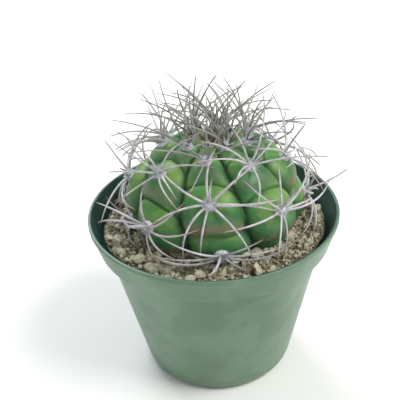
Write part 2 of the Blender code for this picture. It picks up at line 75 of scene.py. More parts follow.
# %% Sizes of the stem and its tubercles
STEM_SHIFT = 0.0012
GLOBE_RADIUS = 0.0335
GLOBE_CENTRE = POT_HEIGHT + 0.0040
GLOBE_RISE = 0.0265
GLOBE_DROP = 0.0200
CROWN_DIP = 0.0022
CROWN_DIP_RADIUS = 0.0080
NECK_POLAR = math.radians(130)

FIRST_STEP = -2
FIRST_CROWN_STEP = 26
LAST_STEP = 29
AREOLE_STEPS = range(FIRST_STEP, FIRST_CROWN_STEP)
FRONT_AZIMUTH = math.radians(0.5)
DIVERGENCE = math.radians(-135.8)
RIBS = 8
RIB_DRIFT = DIVERGENCE + math.radians(135)
STEP_ZERO_POLAR = math.radians(99)
POLAR_DECAY = 0.050
POLAR_DECAY_RISE = 0.0018

TUBERCLE_RELIEF = 0.0100
TUBERCLE_MEAN = 0.80
TUBERCLE_HALF_WIDTH = math.radians(25.3)
ARCH_POWER = 3.0
TOP_ROWS = 0.64
TOP_POWER = 2.1
CHIN_ROW = -0.28
CHIN_ROWS = 0.62
CHIN_POWER = 5.0
CHIN_SWELL = 0.09
CHIN_DROOP = 0.30
CHIN_POLAR = math.radians(44)
CHIN_POLAR_SPAN = math.radians(14)
YOUNG_TOP_ROWS = 0.66
YOUNG_FACE_ROWS = 0.71
YOUNG_FACE_POWER = 3.6
FACE_CORNERS = 0.50
CROWN_FADE = 0.55
SWELL_ROWS = 0.2
SLIDE_TOP = 0.05
SLIDE_ROWS = 0.40
SLIDE_END_ROWS = 0.17
FACE_HEIGHT = 0.5
FACE_SPAN = 0.35
NECK_FADE = 0.22

# %% Sizes of the areoles and spines
PAD_HALF_WIDTH = 0.0025
PAD_HALF_HEIGHT = 0.0021
PAD_THICKNESS = 0.0014
PAD_GAP = 0.00045
PAD_KEEP_OUT = 0.0034
CROWN_RADIUS = 0.0034
CROWN_THICKNESS = 0.0024

SPINE_LENGTH = 0.0270
ROOT_SPREAD = 0.0009
SIDE_PULL = 0.32
SPINE_RADIUS = 0.00040
SPINE_TIP_RADIUS = 0.00010
SPINE_POINTS = 5
SPINE_CLEAR = 0.00035
SPINE_TRIES = 60
CROWN_STEP = 12
YOUNG_STEP = 21
GROWTH_SEED = 8

CREST_CLEAR = 0.0004
RIM_CLEAR = 0.0012
WALL_CLEAR = 0.0015
CROWN_CLEAR = 0.0022
VEER_PER_TRY = math.radians(3.5)
RAISE_PER_TRY = math.radians(1.1)
SHORTEN_PER_TRY = 0.011

# %% [markdown]
# ## The camera
# The photograph looks down on the plant by 31 degrees, from a quarter of a metre away, with the
# camera held a little askew. The lens is worked out from the focal length in pixels of a 400 pixel
# frame, and the roll is a turn about the camera's own viewing axis.

# %% Camera
CAMERA_TARGET = Vector((-0.00514, 0.0, 0.07557))
CAMERA_DISTANCE = 0.260
CAMERA_ELEVATION = math.radians(31.05)
CAMERA_ROLL = math.radians(-3.19)
FOCAL_PIXELS = 638
FRAME_PIXELS = 400


def add_object(name, data):
    made = bpy.data.objects.new(name, data)
    bpy.context.scene.collection.objects.link(made)
    return made


def make_camera():
    data = bpy.data.cameras.new("camera")
    data.sensor_width = 36
    data.lens = FOCAL_PIXELS / FRAME_PIXELS * data.sensor_width
    data.clip_start = 0.01
    camera = add_object("camera", data)
    back = Vector((0, -math.cos(CAMERA_ELEVATION), math.sin(CAMERA_ELEVATION)))
    aim = (-back).to_track_quat("-Z", "Y").to_matrix().to_4x4()
    place = Matrix.Translation(CAMERA_TARGET + CAMERA_DISTANCE * back)
    camera.matrix_world = place @ aim @ Matrix.Rotation(CAMERA_ROLL, 4, "Z")
    bpy.context.scene.camera = camera
    return camera


print("camera lens", round(make_camera().data.lens, 1), "mm")

# %% [markdown]
# ## Floor and light
# The plant stands in bright, even light. A pale floor and a white world give that light from all
# round, one large lamp from the upper right shapes the tubercles, and one behind the plant lights
# the spines' edges.

# %% Studio
FLOOR_HALF = 3.0
FLOOR_COLOUR = (0.93, 0.93, 0.92, 1)
SKY_COLOUR = (0.97, 0.99, 1.0, 1)
SKY_STRENGTH = 0.50
LAMP_AIM = Vector((0, 0, 0.07))


def make_floor():
    bpy.ops.mesh.primitive_plane_add(size=2 * FLOOR_HALF, location=(0, 0, 0))
    floor = bpy.context.object
    floor.name = "studio_floor"
    paint = bpy.data.materials.new("pale_floor")
    paint.use_nodes = True
    shader = paint.node_tree.nodes["Principled BSDF"]
    shader.inputs["Base Color"].default_value = FLOOR_COLOUR
    shader.inputs["Roughness"].default_value = 0.85
    floor.data.materials.append(paint)


def make_lamp(name, place, size, power, colour):
    data = bpy.data.lights.new(name, "AREA")
    data.size = size
    data.energy = power
    data.color = colour
    lamp = add_object(name, data)
    lamp.location = place
    lamp.rotation_euler = (LAMP_AIM - Vector(place)).to_track_quat("-Z", "Y").to_euler()


def light_world():
    world = bpy.data.worlds.new("white_room")
    bpy.context.scene.world = world
    world.use_nodes = True
    sky = world.node_tree.nodes["Background"]
    sky.inputs["Color"].default_value = SKY_COLOUR
    sky.inputs["Strength"].default_value = SKY_STRENGTH


make_floor()
light_world()
make_lamp("window", (0.95, -0.35, 1.25), 0.80, 19.0, (1.0, 0.98, 0.94))
make_lamp("back_glow", (-0.45, 1.00, 1.05), 0.90, 16.0, (0.95, 0.98, 1.0))
bpy.context.scene.view_settings.view_transform = "Standard"
print("studio ready")

# %% [markdown]
# ## Helpers for meshes
# A turned or grown surface is easiest as rings of points, each joined to the next. A mesh made this
# way can carry measures on its points, such as how deep a place lies in a furrow, and a material
# reads them by name. That is steadier than guessing the place from coordinates in the shader.

# %% Mesh helpers

def mesh_object(name, points, faces, measures=None):
    """A smooth mesh object from points and faces, with named numbers stored on its points."""
    mesh = bpy.data.meshes.new(name)
    mesh.from_pydata([tuple(map(float, p)) for p in points], [], faces)
    for label, values in (measures or {}).items():
        layer = mesh.attributes.new(label, "FLOAT", "POINT")
        layer.data.foreach_set("value", np.asarray(values, np.float32))
    mesh.shade_smooth()
    return add_object(name, mesh)


def ring_faces(rows, columns):
    """Quads between neighbouring rings, and a fan to a middle point at each end."""
    faces = []
    for i in range(rows - 1):
        for j in range(columns):
            k = (j + 1) % columns
            faces.append((i * columns + j, (i + 1) * columns + j, (i + 1) * columns + k, i * columns + k))
    top, bottom = rows * columns, rows * columns + 1
    last = (rows - 1) * columns
    for j in range(columns):
        k = (j + 1) % columns
        faces.append((top, j, k))
        faces.append((bottom, last + k, last + j))
    return faces


def ringed_object(name, rows, measures=None):
    """A closed surface through rings of points, top ring first, with measures given ring by ring."""
    rows = np.asarray(rows)
    points = np.concatenate([rows.reshape(-1, 3), rows[0].mean(0)[None], rows[-1].mean(0)[None]])
    stored = {}
    for label, values in (measures or {}).items():
        values = np.asarray(values, float)
        stored[label] = np.concatenate([values.reshape(-1), [values[0].mean(), values[-1].mean()]])
    return mesh_object(name, points, ring_faces(rows.shape[0], rows.shape[1]), stored)


def ring_of(radius, height, columns, shift=0.0):
    turn = np.linspace(0, 2 * math.pi, columns, endpoint=False)
    x, y = shift + radius * np.sin(turn), -radius * np.cos(turn)
    return np.stack([x, y, np.full(columns, height)], axis=-1)


def settle(piece, slot, *nodes):
    """The piece stands for these nodes of the measured model and rests on its only body."""
    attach(piece, "root")
    if nodes:
        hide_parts(*nodes)
    print(piece.name, len(piece.data.vertices), "points")


# %% [markdown]
# ## Helpers for materials
# Plastic, skin, horn and stone all need two things: a colour that drifts between two tones, and a
# fine grain on the surface. Each is a node group, built once, and every material sets its own
# colours and scales on it. The shader itself stays in the material.

# %% Material helpers

def node(tree, kind, settings=None, **inputs):
    """A new node with its settings and its input values; spaces in an input's name are written as _."""
    made = tree.nodes.new(kind)
    for key, value in (settings or {}).items():
        setattr(made, key, value)
    for key, value in inputs.items():
        made.inputs[key.replace("_", " ")].default_value = value
    return made


def new_group(name, inputs, outputs):
    """An empty node group with named sockets, and its input and output nodes."""
    tree = bpy.data.node_groups.new(name, "ShaderNodeTree")
    for label, kind, value in inputs:
        socket = tree.interface.new_socket(label, in_out="INPUT", socket_type=kind)
        socket.default_value = value
    for label, kind in outputs:
        tree.interface.new_socket(label, in_out="OUTPUT", socket_type=kind)
    return tree, tree.nodes.new("NodeGroupInput"), tree.nodes.new("NodeGroupOutput")


def place_group(tree, group, **inputs):
    return node(tree, "ShaderNodeGroup", {"node_tree": group}, **inputs)


def new_material(name, roughness=0.5):
    paint = bpy.data.materials.new(name)
    paint.use_nodes = True
    shader = paint.node_tree.nodes["Principled BSDF"]
    shader.inputs["Roughness"].default_value = roughness
    return paint, paint.node_tree, shader


def measure(tree, label):
    """The named number stored on the mesh's points."""
    return node(tree, "ShaderNodeAttribute", {"attribute_name": label}).outputs["Fac"]


def feed(tree, socket, value):
    """Links the value to the socket if it is a socket itself, or else sets it."""
    if isinstance(value, bpy.types.NodeSocket):
        tree.links.new(value, socket)
    else:
        socket.default_value = value


def mix_colour(tree, share, first, second):
    """Mixes two colours, each a socket or a value, by a socket or a number."""
    mixer = node(tree, "ShaderNodeMix", {"data_type": "RGBA"})
    for place, value in ((0, share), (6, first), (7, second)):
        feed(tree, mixer.inputs[place], value)
    return mixer.outputs[2]


def maths(tree, operation, first, second):
    made = node(tree, "ShaderNodeMath", {"operation": operation})
    for socket, value in zip(made.inputs, (first, second)):
        feed(tree, socket, value)
    return made.outputs[0]


def remap(tree, value, low, high, to_low=0.0, to_high=1.0):
    """A smooth step of the value from low to high."""
    made = node(tree, "ShaderNodeMapRange", {"interpolation_type": "SMOOTHSTEP"},
                From_Min=low, From_Max=high, To_Min=to_low, To_Max=to_high)
    tree.links.new(value, made.inputs["Value"])
    return made.outputs["Result"]


def srgb(red, green, blue):
    """A colour as a screen shows it, 0 to 255, turned into linear light."""
    parts = [c / 255 for c in (red, green, blue)]
    return (*[c / 12.92 if c <= 0.04045 else ((c + 0.055) / 1.055) ** 2.4 for c in parts], 1.0)


# %% Drifting tones, shared by all the materials

def make_tone_group():
    """Colour that drifts between two tones in clouds of a given size."""
    tree, given, result = new_group(
        "Drifting tones",
        [("First Tone", "NodeSocketColor", (0.5, 0.5, 0.5, 1)),
         ("Second Tone", "NodeSocketColor", (0.3, 0.3, 0.3, 1)),
         ("Clouds Per Metre", "NodeSocketFloat", 100.0),
         ("Balance", "NodeSocketFloat", 0.5)],
        [("Colour", "NodeSocketColor"), ("Mask", "NodeSocketFloat")],
    )
    place = node(tree, "ShaderNodeTexCoord")
    clouds = node(tree, "ShaderNodeTexNoise", Detail=5.0, Roughness=0.6, Distortion=0.4)
    tree.links.new(place.outputs["Object"], clouds.inputs["Vector"])
    tree.links.new(given.outputs["Clouds Per Metre"], clouds.inputs["Scale"])
    offset = maths(tree, "SUBTRACT", given.outputs["Balance"], 0.5)
    shifted = maths(tree, "ADD", clouds.outputs["Fac"], offset)
    mask = remap(tree, shifted, 0.38, 0.62)
    colour = mix_colour(tree, mask, given.outputs["First Tone"], given.outputs["Second Tone"])
    tree.links.new(colour, result.inputs["Colour"])
    tree.links.new(mask, result.inputs["Mask"])
    return tree


def make_grain_group():
    """Height of a fine grain laid over a coarser unevenness, for a Bump node."""
    tree, given, result = new_group(
        "Fine grain",
        [("Grains Per Metre", "NodeSocketFloat", 2000.0), ("Waves Per Metre", "NodeSocketFloat", 300.0),
         ("Grain Share", "NodeSocketFloat", 0.4)],
        [("Height", "NodeSocketFloat")],
    )
    place = node(tree, "ShaderNodeTexCoord")
    fine = node(tree, "ShaderNodeTexNoise", Detail=2.0, Roughness=0.5)
    coarse = node(tree, "ShaderNodeTexNoise", Detail=3.0, Roughness=0.55)
    for texture, scale in ((fine, "Grains Per Metre"), (coarse, "Waves Per Metre")):
        tree.links.new(place.outputs["Object"], texture.inputs["Vector"])
        tree.links.new(given.outputs[scale], texture.inputs["Scale"])
    fine_part = maths(tree, "MULTIPLY", fine.outputs["Fac"], given.outputs["Grain Share"])
    tree.links.new(maths(tree, "ADD", fine_part, coarse.outputs["Fac"]), result.inputs["Height"])
    return tree


tones = make_tone_group()
grain = make_grain_group()


def drift(tree, first, second, per_metre, balance=0.5):
    """A colour that drifts between two tones, in so many clouds to the metre."""
    clouds = place_group(tree, tones, First_Tone=first, Second_Tone=second,
                         Clouds_Per_Metre=per_metre, Balance=balance)
    return clouds.outputs["Colour"]


def patches(tree, per_metre, balance):
    """1 inside cloudy patches and 0 between them."""
    return place_group(tree, tones, Clouds_Per_Metre=per_metre, Balance=balance).outputs["Mask"]


def cover(tree, shader, colour, grains, waves, share, depth):
    """Gives the surface its colour and a bump of fine grain, to a depth in metres."""
    tree.links.new(colour, shader.inputs["Base Color"])
    fine = place_group(tree, grain, Grains_Per_Metre=grains, Waves_Per_Metre=waves, Grain_Share=share)
    bump = node(tree, "ShaderNodeBump", Strength=1.0, Distance=depth)
    tree.links.new(fine.outputs["Height"], bump.inputs["Height"])
    tree.links.new(bump.outputs["Normal"], shader.inputs["Normal"])


print("node groups:", tones.name, "and", grain.name)

# %% [markdown]
# ## The nursery pot
# Such a pot is thin plastic, moulded in one shot: a tapered cup, a collar that lets pots stack, and
# a narrow lip. It is turned here from its half section. Short steps round off each corner, because
# moulded plastic has no sharp edges and the rounded ones catch the light.

# %% Pot outline
AXIS_GAP = 0.001
CORNER_ROUND = 0.0006
CORNER_STEPS = 5
INNER_SHOULDER_DROP = 0.0010
INNER_SHOULDER_RISE = 0.0012
LIP_EDGE = 0.0004
SHOULDER_FALL = 0.0002


def rounded(corners, radius, steps):
    """Replaces each inner corner of an outline with a short curve."""
    points = [corners[0]]
    for before, corner, after in zip(corners, corners[1:], corners[2:]):
        b, c, a = (np.array(p) for p in (before, corner, after))
        reach = min(radius, 0.45 * np.linalg.norm(b - c), 0.45 * np.linalg.norm(a - c))
        start = c + (b - c) / np.linalg.norm(b - c) * reach
        end = c + (a - c) / np.linalg.norm(a - c) * reach
        for t in np.linspace(0, 1, steps):
            points.append(tuple((1 - t) ** 2 * start + 2 * t * (1 - t) * c + t * t * end))
    points.append(corners[-1])
    return points


def pot_outline():
    """Half section as (radius, height), from the inner floor up, over the lip and down the outside."""
    shoulder = POT_HEIGHT - COLLAR_HEIGHT
    inner_body = BODY_TOP_RADIUS - POT_WALL
    inner_base = BASE_RADIUS - POT_WALL
    corners = [
        (AXIS_GAP, FLOOR_THICKNESS), (inner_base, FLOOR_THICKNESS),
        (inner_body, shoulder - INNER_SHOULDER_DROP),
        (COLLAR_FOOT_RADIUS - POT_WALL, shoulder + INNER_SHOULDER_RISE),
        (RIM_RADIUS - LIP_RADIUS_LOSS - POT_WALL, POT_HEIGHT - LIP_DROP),
        (RIM_RADIUS - POT_WALL, POT_HEIGHT), (RIM_RADIUS, POT_HEIGHT),
        (RIM_RADIUS, POT_HEIGHT - LIP_DROP + LIP_EDGE),
        (RIM_RADIUS - LIP_RADIUS_LOSS, POT_HEIGHT - LIP_DROP),
        (COLLAR_FOOT_RADIUS, shoulder), (BODY_TOP_RADIUS, shoulder - SHOULDER_FALL),
        (BASE_RADIUS, 0.0), (AXIS_GAP, 0.0),
    ]
    radii = {1: BASE_ROUND, 11: BASE_ROUND}
    points = [corners[0]]
    for i in range(1, len(corners) - 1):
        points += rounded(corners[i - 1:i + 2], radii.get(i, CORNER_ROUND), CORNER_STEPS)[1:-1]
    return points + [corners[-1]]


# %% Turn the pot and drill its drains
POT_COLUMNS = 192
DRAIN_SIDES = 32


def drain_pegs():
    bm = bmesh.new()
    for i in range(DRAIN_COUNT):
        turn = 2 * math.pi * (i + 0.5) / DRAIN_COUNT
        place = Vector((DRAIN_RING * math.cos(turn), DRAIN_RING * math.sin(turn), FLOOR_THICKNESS / 2))
        bmesh.ops.create_cone(bm, cap_ends=True, segments=DRAIN_SIDES, radius1=DRAIN_RADIUS,
                              radius2=DRAIN_RADIUS, depth=3 * FLOOR_THICKNESS,
                              matrix=Matrix.Translation(place))
    mesh = bpy.data.meshes.new("pegs")
    bm.to_mesh(mesh)
    bm.free()
    return add_object("pegs", mesh)


def apply_modifiers(obj):
    graph = bpy.context.evaluated_depsgraph_get()
    made = bpy.data.meshes.new_from_object(obj.evaluated_get(graph), preserve_all_data_layers=True,
                                           depsgraph=graph)
    obj.modifiers.clear()
    obj.data = made


def make_pot():
    outline = pot_outline()
    lip = max(range(len(outline)), key=lambda i: outline[i][1])
    rows = [ring_of(r, z, POT_COLUMNS) for r, z in outline]
    # inside marks the inner wall and the lip top, which the material darkens as painted shade.
    inner = [np.full(POT_COLUMNS, 1.0 if i <= lip else 0.0) for i in range(len(outline))]
    pot = ringed_object("nursery_pot", rows, {"inside": inner})
    pegs = drain_pegs()
    drill = pot.modifiers.new("drains", "BOOLEAN")
    drill.operation = "DIFFERENCE"
    drill.object = pegs
    apply_modifiers(pot)
    bpy.data.objects.remove(pegs, do_unlink=True)
    pot.data.set_sharp_from_angle(angle=math.radians(50))
    return pot


pot = make_pot()
settle(pot, "pot", "pot")

# %% [markdown]
# ### Green moulded plastic
# The plastic is a dull sage green, greyer where dust clings. Painted shade makes the inner wall
# darker and bluer, and the lip top takes the same tones. Its gloss is soft and uneven. The moulding
# leaves a faint grain, too fine for the mesh, so it goes into the bump.

# %% Pot material

def make_plastic():
    paint, tree, shader = new_material("sage_green_plastic", 0.42)
    outside = drift(tree, srgb(92, 121, 97), srgb(106, 136, 111), 45.0)
    # The inside tones are painted shade for the inner wall; the lip top takes them too.
    inside = drift(tree, srgb(44, 80, 72), srgb(60, 98, 88), 120.0, 0.45)
    base = mix_colour(tree, measure(tree, "inside"), outside, inside)
    specks = patches(tree, 900.0, 0.28)
    dust = maths(tree, "MULTIPLY", specks, 0.22)
    dusty = mix_colour(tree, dust, base, srgb(150, 152, 134))
    tree.links.new(remap(tree, specks, 0.0, 1.0, 0.40, 0.62), shader.inputs["Roughness"])
    cover(tree, shader, dusty, 2600.0, 160.0, 0.25, 0.00018)
    return paint


pot.data.materials.clear()
pot.data.materials.append(make_plastic())
print("pot material done")

# %% [markdown]
# ## How the stem grows
# A cactus adds its tubercles one at a time at the crown. Each new one turns by the same angle from
# the last, about three eighths of a circle, and the older ones are pushed down and out. Three
# eighths lines them up in eight ribs. One number, the growth step, therefore fixes both the turn and
# the height of every tubercle, and the same rule also gives the surface between them.

# %% Growth rule

def polar_of(step):
    """Angle from the crown's axis at a growth step, which may be a fraction."""
    return STEP_ZERO_POLAR * np.exp(-POLAR_DECAY * step - POLAR_DECAY_RISE * step * step)


def azimuth_of(step):
    return FRONT_AZIMUTH + DIVERGENCE * step


def globe_point(azimuth, polar):
    """A point on the smooth globe. Azimuth 0 is the front, -Y, and grows towards +X."""
    radius = GLOBE_RADIUS * np.sin(polar)
    reach = np.where(polar < math.pi / 2, GLOBE_RISE, GLOBE_DROP)
    height = GLOBE_CENTRE + reach * np.cos(polar)
    height = height - CROWN_DIP * np.exp(-((radius / CROWN_DIP_RADIUS) ** 2)) * (polar < 1)
    return np.stack([STEM_SHIFT + radius * np.sin(azimuth), -radius * np.cos(azimuth), height], axis=-1)


def globe_frame(azimuth, polar):
    """Outward normal and upward tangent of the smooth globe."""
    reach = np.where(polar < math.pi / 2, GLOBE_RISE, GLOBE_DROP)
    out = np.stack([np.sin(azimuth), -np.cos(azimuth), np.zeros_like(azimuth)], axis=-1)
    rise = np.array([0.0, 0.0, 1.0])
    normal = out * (np.sin(polar) / GLOBE_RADIUS)[..., None] + rise * (np.cos(polar) / reach)[..., None]
    normal /= np.linalg.norm(normal, axis=-1, keepdims=True)
    upward = -out * (np.cos(polar) * GLOBE_RADIUS)[..., None] + rise * (np.sin(polar) * reach)[..., None]
    upward /= np.linalg.norm(upward, axis=-1, keepdims=True)
    return normal, upward


# %% [markdown]
# ### Tubercles with chins
# Each tubercle is a dome with a broad, nearly flat face. Its top falls away in a gentle arch, and
# its lower edge ends steeply. Where two domes meet, the taller one wins, which leaves a sharp crease
# as on the plant. On the old tubercles, low on the stem, the lower part of the face also slides
# downward, and that makes the chin under the areole that gives the plant its name.

# %% Tubercle shape

def age_of(owner):
    """0 for a young tubercle with a sloping face, up to 1 for an old one low on the stem, with a chin."""
    return np.clip((polar_of(owner) - CHIN_POLAR) / CHIN_POLAR_SPAN, 0, 1)


def tubercle_dome(across, up, age):
    """Height of one tubercle, from 0 to about 1, at a place across its rib and so many rows up it."""
    side = np.abs(across / TUBERCLE_HALF_WIDTH)
    top_rows = YOUNG_TOP_ROWS + (TOP_ROWS - YOUNG_TOP_ROWS) * age
    face_rows = YOUNG_FACE_ROWS + FACE_CORNERS * side**2
    chin_rows = face_rows + (CHIN_ROWS - face_rows) * age
    power = YOUNG_FACE_POWER + (CHIN_POWER - YOUNG_FACE_POWER) * age
    top = (np.clip(up, 0, 1) / top_rows) ** TOP_POWER
    chin = np.clip(-up / chin_rows, 0, 1) ** power
    dome = np.sqrt(np.clip(1 - side**ARCH_POWER - top, 0, 1) * (1 - chin))
    return dome * (1 + CHIN_SWELL * age * np.exp(-(((up - CHIN_ROW) / SWELL_ROWS) ** 2)))


def dome_over(owner, azimuth, step):
    """How many rows a place lies above a tubercle's areole, and that tubercle's height there."""
    up = (step - owner) / RIBS
    across = azimuth - azimuth_of(owner) - RIB_DRIFT * (step - owner)
    across = (across + math.pi) % (2 * math.pi) - math.pi
    return up, tubercle_dome(across, up, age_of(owner))


def tubercle_height(azimuth, step):
    """Height, from 0 to about 1, share of the chin's slide and age of the tallest tubercle at a place."""
    height, slide, age = (np.zeros(np.shape(azimuth)) for _ in range(3))
    for owner in range(FIRST_STEP - RIBS, LAST_STEP + RIBS):
        up, dome = dome_over(owner, azimuth, step)
        begun = np.clip((SLIDE_TOP - up) / SLIDE_ROWS, 0, 1)
        not_over = np.clip((up + CHIN_ROWS) / SLIDE_END_ROWS, 0, 1)
        slide = np.where(dome > height, begun * not_over, slide)
        age = np.where(dome > height, age_of(owner), age)
        height = np.maximum(height, dome)
    return height, slide * np.clip((height - FACE_HEIGHT) / FACE_SPAN, 0, 1), age


def stem_surface(azimuth, step):
    """Points on the stem: the globe, raised into tubercles whose lower half droops into a chin."""
    polar = polar_of(step)
    normal, upward = globe_frame(azimuth, polar)
    height, slide, age = tubercle_height(azimuth, step)
    size = TUBERCLE_RELIEF * np.clip(np.sin(polar), 0, 1) ** CROWN_FADE
    size = size * np.clip((NECK_POLAR - polar) / NECK_FADE, 0, 1)
    raised = (size * (height - TUBERCLE_MEAN))[..., None]
    droop = (size * slide * age * CHIN_DROOP)[..., None]
    return globe_point(azimuth, polar) + normal * raised - upward * droop


# %% [markdown]
# ### Furrows
# Between two tubercles the skin folds in further than their round forms alone would leave it. The
# fold is narrow, so it is made from the difference between the tallest and the next tallest dome:
# where that is small, two tubercles meet. The same number paints shade into the furrow in the
# material.

# %% Furrows
FURROW_SPREAD = 0.16
FURROW_DEPTH = 0.0006


def furrow(azimuth, step):
    """1 where two tubercles meet, falling to 0 a little way up either of them."""
    tallest, next_tallest = (np.zeros(np.shape(azimuth)) for _ in range(2))
    for owner in range(FIRST_STEP - RIBS, LAST_STEP + RIBS):
        dome = dome_over(owner, azimuth, step)[1]
        next_tallest = np.maximum(next_tallest, np.minimum(tallest, dome))
        tallest = np.maximum(tallest, dome)
    return np.clip(1 - (tallest - next_tallest) / FURROW_SPREAD, 0, 1)


def furrowed_surface(azimuth, step, fold):
    """The stem's surface, let in along the furrows, less so at the crown."""
    polar = polar_of(step)
    depth = FURROW_DEPTH * fold * np.clip(np.sin(polar), 0, 1) ** CROWN_FADE
    return stem_surface(azimuth, step) - globe_frame(azimuth, polar)[0] * depth[:, None]


# %% Grow the stem
STEM_COLUMNS = 336
ROWS_PER_STEP = 6
STEPS_ABOVE = 5
STEPS_BELOW = 8


def make_stem():
    turns = np.linspace(0, 2 * math.pi, STEM_COLUMNS, endpoint=False)
    rows, heights, chins, ages, youths, folds = [], [], [], [], [], []
    for k in range(ROWS_PER_STEP * (LAST_STEP + STEPS_ABOVE), -ROWS_PER_STEP * STEPS_BELOW, -1):
        step = np.full(STEM_COLUMNS, k / ROWS_PER_STEP)
        if float(polar_of(step[0])) > NECK_POLAR:
            break
        height, slide, age = tubercle_height(turns, step)
        folds.append(furrow(turns, step))
        rows.append(furrowed_surface(turns, step, folds[-1]))
        heights.append(height)
        chins.append(slide)
        ages.append(age)
        youths.append(step / LAST_STEP)
    measures = {"height": heights, "chin": chins, "age": ages, "youth": youths, "fold": folds}
    return ringed_object("cactus_stem", rows, measures)


stem = make_stem()
settle(stem, "stem", "stem")

# %% [markdown]
# ### Living skin
# The skin is waxy: a clear soft gloss over green flesh that lets a little light in. Its green carries
# painted light: painted shade makes it deep blue-green in the furrows and between tubercles and
# darkens the faces under the areoles, and a painted highlight makes the crests yellow-green. The
# lowest tubercles take the face tone all over. It is brightest at the crown where it is youngest.
# Old sunburn tints the chins and the creases between tubercles brown.

# %% Skin material

def make_skin():
    paint, tree, shader = new_material("waxy_green_skin", 0.42)
    labels = ("height", "chin", "age", "youth", "fold")
    height, chin, age, youth, fold = (measure(tree, label) for label in labels)
    # The deep tone is painted shade for the furrows and the hollows between tubercles.
    furrow_shade = drift(tree, srgb(20, 62, 44), srgb(32, 80, 54), 110.0)
    face = drift(tree, srgb(40, 104, 70), srgb(66, 126, 80), 90.0)
    crest = drift(tree, srgb(78, 136, 70), srgb(122, 160, 82), 90.0)
    # Painted shade darkens the faces under the areoles; the lighter crest tone is a painted highlight.
    shaded = maths(tree, "MULTIPLY", remap(tree, chin, 0.0, 0.75), 0.75)
    facing = mix_colour(tree, shaded, crest, face)
    # Painted shade: low places between the domes take the dark tone.
    green = mix_colour(tree, remap(tree, height, 0.50, 0.84), furrow_shade, facing)
    # The lowest tubercles take the face tone all over.
    green = mix_colour(tree, remap(tree, youth, 0.18, -0.06), green, face)
    young = maths(tree, "MULTIPLY", remap(tree, youth, 0.56, 0.88), 0.85)
    green = mix_colour(tree, young, green, srgb(148, 184, 114))
    # Painted shade along each furrow.
    folded = maths(tree, "MULTIPLY", remap(tree, fold, 0.25, 1.0), 0.80)
    green = mix_colour(tree, folded, green, furrow_shade)
    tan = patches(tree, 160.0, 0.58)
    on_chin = maths(tree, "MULTIPLY", remap(tree, chin, 0.62, 0.95), remap(tree, height, 0.55, 0.8))
    when_old = maths(tree, "MULTIPLY", tan, remap(tree, age, -0.4, 0.8))
    burnt = maths(tree, "MULTIPLY", on_chin, when_old)
    crease = maths(tree, "MULTIPLY", remap(tree, height, 0.62, 0.48), 0.55)
    brown = maths(tree, "MAXIMUM", maths(tree, "MULTIPLY", burnt, 0.88), maths(tree, "MULTIPLY", crease, tan))
    skin = mix_colour(tree, brown, green, srgb(128, 114, 88))
    cover(tree, shader, skin, 3800.0, 260.0, 0.18, 0.00030)
    for label, value in (("Subsurface Weight", 0.12), ("Subsurface Radius", (0.4, 1.0, 0.2)),
                         ("Subsurface Scale", 0.0012), ("Specular IOR Level", 0.38),
                         ("Coat Weight", 0.05), ("Coat Roughness", 0.35)):
        shader.inputs[label].default_value = value
    return paint


stem.data.materials.append(make_skin())
print("stem material done")

# %% [markdown]
# ## The potting mix
# The mix is crumbly soil with pumice, bark and grit pressed into it. A lumpy bed gives the ground,
# and three kinds of loose grain lie on it. Its surface stands higher at the front, where the
# plant was potted a little askew.

# %% Height of the mix

def soil_height(x, y):
    """Height of the soil, which stands higher at the front."""
    lumps = np.sin(310 * x + 1.0) * np.cos(270 * y) + 0.6 * np.sin(520 * y + 140 * x + 2.0)
    return SOIL_LEVEL - SOIL_TILT * y + SOIL_BUMP * lumps


def pot_inside_radius(z):
    foot = POT_HEIGHT - COLLAR_HEIGHT
    return np.interp(z, [0, foot, POT_HEIGHT],
                     [BASE_RADIUS - POT_WALL, BODY_TOP_RADIUS - POT_WALL, RIM_RADIUS - 2 * POT_WALL])


# %% Bed of the mix
BED_COLUMNS = 240
BED_ROWS = 44
BED_INNER = 0.0220
CRUMB = 0.00045
BED_OVERLAP = 0.0003
BED_GAP = 0.0004
BED_FLOOR_GAP = 0.0003
BED_SHOULDER_DROP = 0.0015


def crumbs(x, y):
    """Small lumps on the bed, a sum of waves of unlike lengths."""
    fine = np.sin(1900 * x + 700 * y) * np.sin(2300 * y - 500 * x)
    finer = np.sin(4100 * x - 1300 * y + 1) * np.sin(3700 * y + 900 * x)
    return CRUMB * (fine + 0.6 * finer)


def make_bed():
    rows = []
    for share in np.linspace(0, 1, BED_ROWS):
        row = ring_of(BED_INNER, 0.0, BED_COLUMNS, STEM_SHIFT * (1 - share))
        edge = pot_inside_radius(SOIL_LEVEL - SOIL_TILT * row[:, 1]) + BED_OVERLAP
        row[:, :2] *= (1 + (edge / BED_INNER - 1) * share)[:, None]
        row[:, 2] = soil_height(row[:, 0], row[:, 1]) + crumbs(row[:, 0], row[:, 1])
        rows.append(row)
    base = BASE_RADIUS - POT_WALL - BED_GAP
    shoulder = POT_HEIGHT - COLLAR_HEIGHT - BED_SHOULDER_DROP
    rows.append(ring_of(BODY_TOP_RADIUS - POT_WALL - BED_GAP, shoulder, BED_COLUMNS))
    rows.append(ring_of(base, FLOOR_THICKNESS + BASE_ROUND, BED_COLUMNS))
    rows.append(ring_of(base - BASE_ROUND, FLOOR_THICKNESS + BED_FLOOR_GAP, BED_COLUMNS))
    return ringed_object("soil_bed", rows)


bed = make_bed()
settle(bed, "soil", "soil")

# %% [markdown]
# ### Growing the spines
# Each areole sends out a ring of spines and one in the middle. Their angles, lengths and bends are
# drawn by a seeded chance, so the plant is the same each time. A spine that would cross one of
# another areole, the pot or the mix is lifted, turned and shortened until it is clear. The few that
# find no clear way are left out.

# %% Areole places

